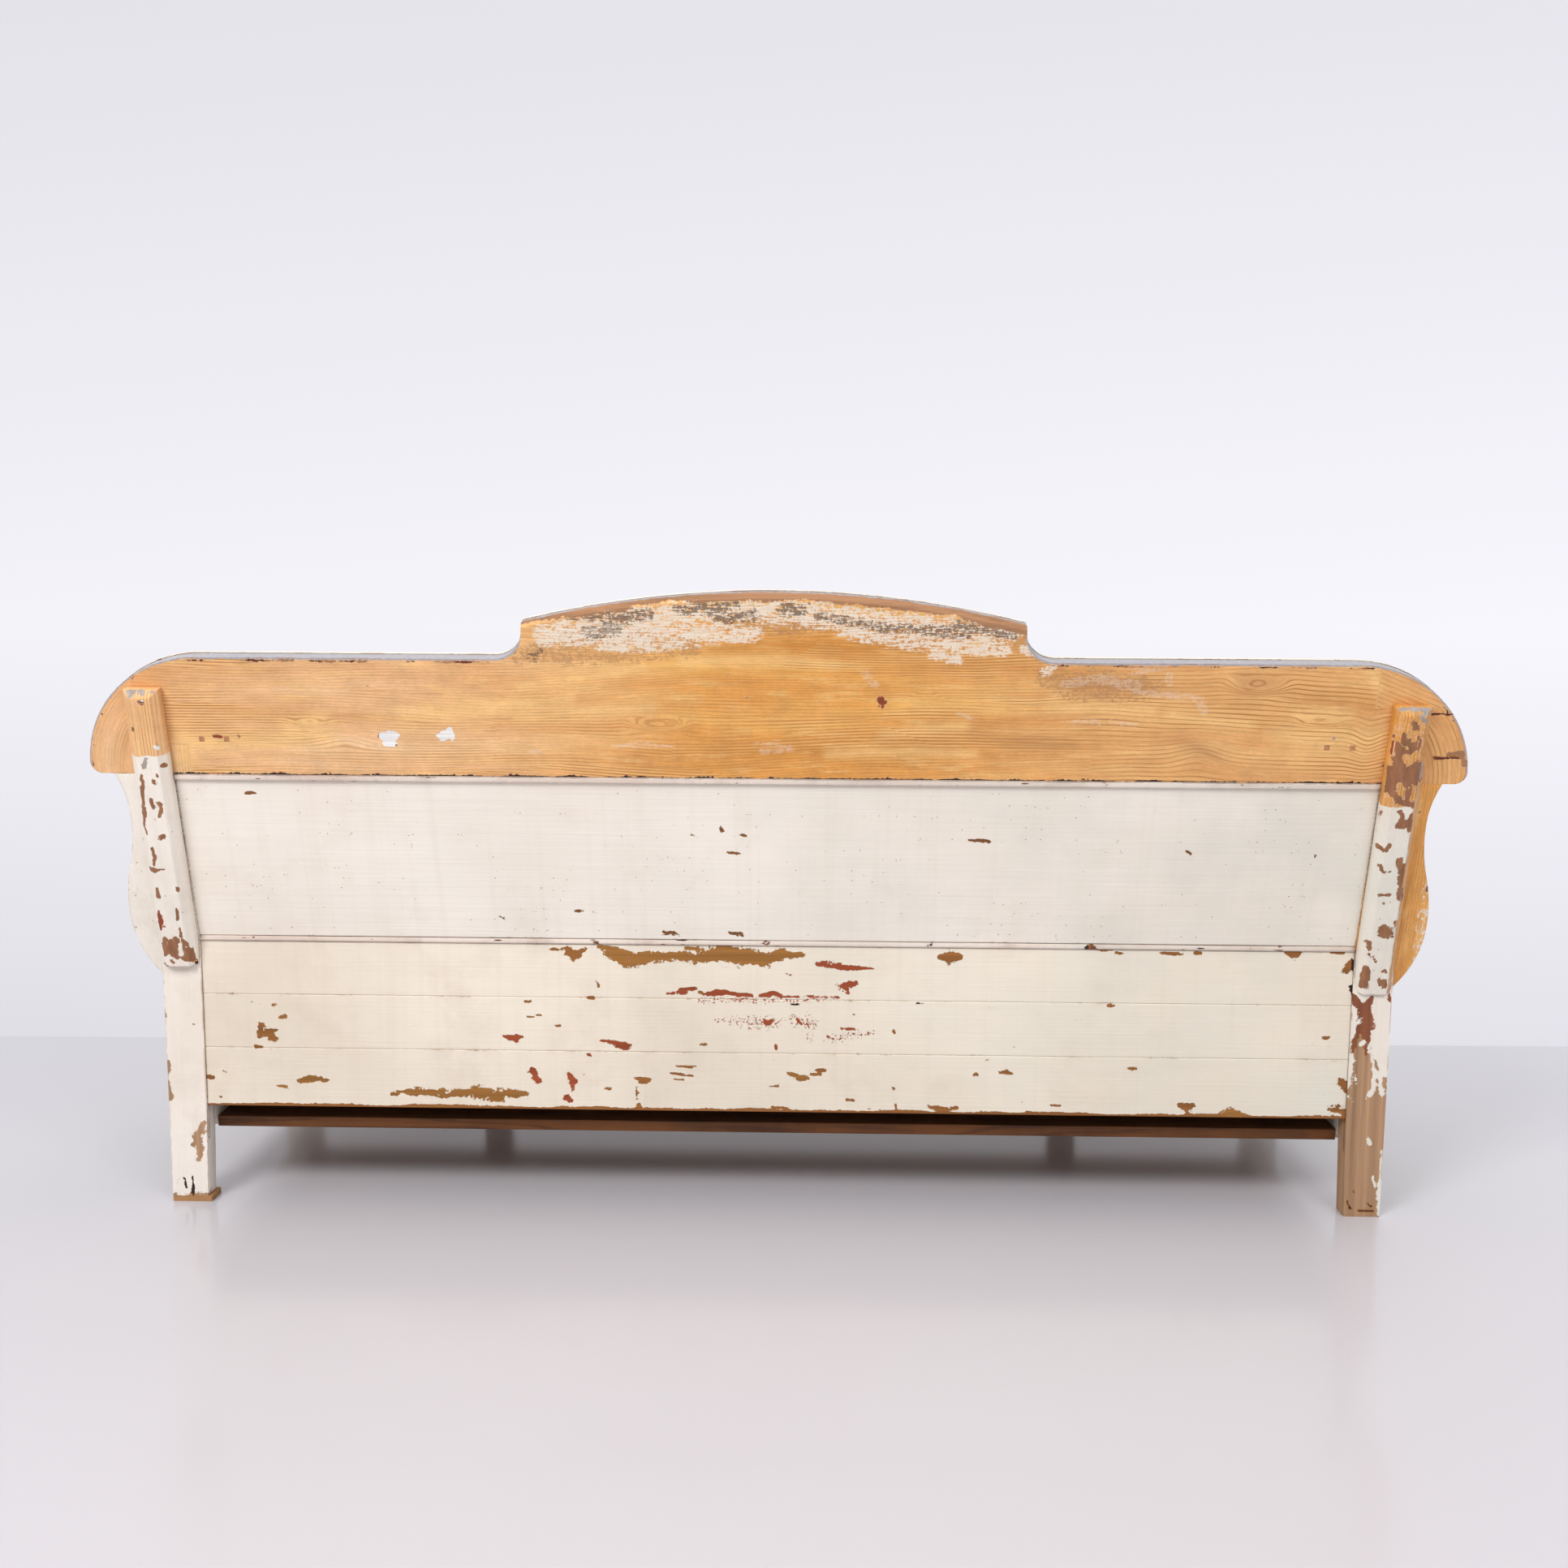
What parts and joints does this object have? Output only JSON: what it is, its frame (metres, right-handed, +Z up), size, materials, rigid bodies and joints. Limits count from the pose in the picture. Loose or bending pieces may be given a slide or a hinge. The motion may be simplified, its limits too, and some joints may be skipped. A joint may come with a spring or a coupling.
{
  "type": "pull-out bench bed",
  "caption": "Long painted pine bench with a raked back, arched crest, S-shaped arms and a lift-up seat over a slatted bed that pulls out at the front.",
  "frame": {"origin": "on the floor under the middle of the bench's bounding box, which runs front to back from the seat's nose to the rearmost point of the crest", "axes": "+Z up; the front of the bench faces -Y and its back faces +Y; +X runs along the bench, to the right of someone facing it"},
  "size_m": [2.0914, 0.7364, 1.0006],
  "materials": {
    "cream_paint": "worn off-white oil paint on pine",
    "grained_paint": "ochre combed graining on pine",
    "bare_pine": "unpainted old pine",
    "forged_iron": "dark forged iron"
  },
  "bodies": {
    "frame": {"arm_back_board_left": "cream_paint", "arm_back_board_right": "cream_paint", "arm_cap_left": "cream_paint", "arm_cap_right": "cream_paint", "arm_panel_left": "cream_paint", "arm_panel_right": "cream_paint", "back_middle_bead": "cream_paint", "back_panel": "cream_paint", "back_rail": "bare_pine", "back_stay_left": "grained_paint", "back_stay_right": "grained_paint", "back_top_bead": "cream_paint", "crest_board": "grained_paint", "crest_moulding": "cream_paint", "crest_nails": "forged_iron", "end_panel_left": "cream_paint", "end_panel_right": "cream_paint", "end_rail_left": "cream_paint", "end_rail_right": "cream_paint", "fixed_slats": "bare_pine", "foot_packing": "bare_pine", "front_post_left": "cream_paint", "front_post_right": "cream_paint", "front_slat_rail": "bare_pine", "hinge_leaves_fixed": "forged_iron", "hinge_pins": "forged_iron", "lower_back_board_1": "cream_paint", "lower_back_board_2": "cream_paint", "lower_back_board_3": "cream_paint", "rear_leg_left": "cream_paint", "rear_leg_right": "cream_paint", "rear_slat_rail": "bare_pine", "seat_ledger_left": "bare_pine", "seat_ledger_right": "bare_pine", "seat_strip": "cream_paint", "side_rail_left": "cream_paint", "side_rail_right": "cream_paint", "slat_stops": "bare_pine"},
    "seat": {"lid_front_board": "cream_paint", "lid_rear_board": "cream_paint", "lid_cleats": "bare_pine", "hinge_leaves_moving": "forged_iron"},
    "pullout": {"pull_bottom_rail": "cream_paint", "pull_leg_left": "cream_paint", "pull_leg_right": "cream_paint", "pull_panel_1": "cream_paint", "pull_panel_2": "cream_paint", "pull_panel_3": "cream_paint", "pull_panel_4": "cream_paint", "pull_pegs": "cream_paint", "pull_side_left": "bare_pine", "pull_side_right": "bare_pine", "pull_stile_1": "cream_paint", "pull_stile_2": "cream_paint", "pull_stile_3": "cream_paint", "pull_stile_4": "cream_paint", "pull_stile_5": "cream_paint", "pull_top_rail": "cream_paint", "moving_slats": "bare_pine", "slat_bearer": "bare_pine"}
  },
  "joints": [
    {"name": "seat_hinge", "type": "hinge", "parent": "frame", "child": "seat", "pos_m": [0, 0.13248, 0.464], "axis": [-1, 0, 0], "range_deg": [0, 108]},
    {"name": "pullout_slide", "type": "slide", "parent": "frame", "child": "pullout", "axis": [0, -1, 0], "range_m": [0, 0.3697]}
  ]
}
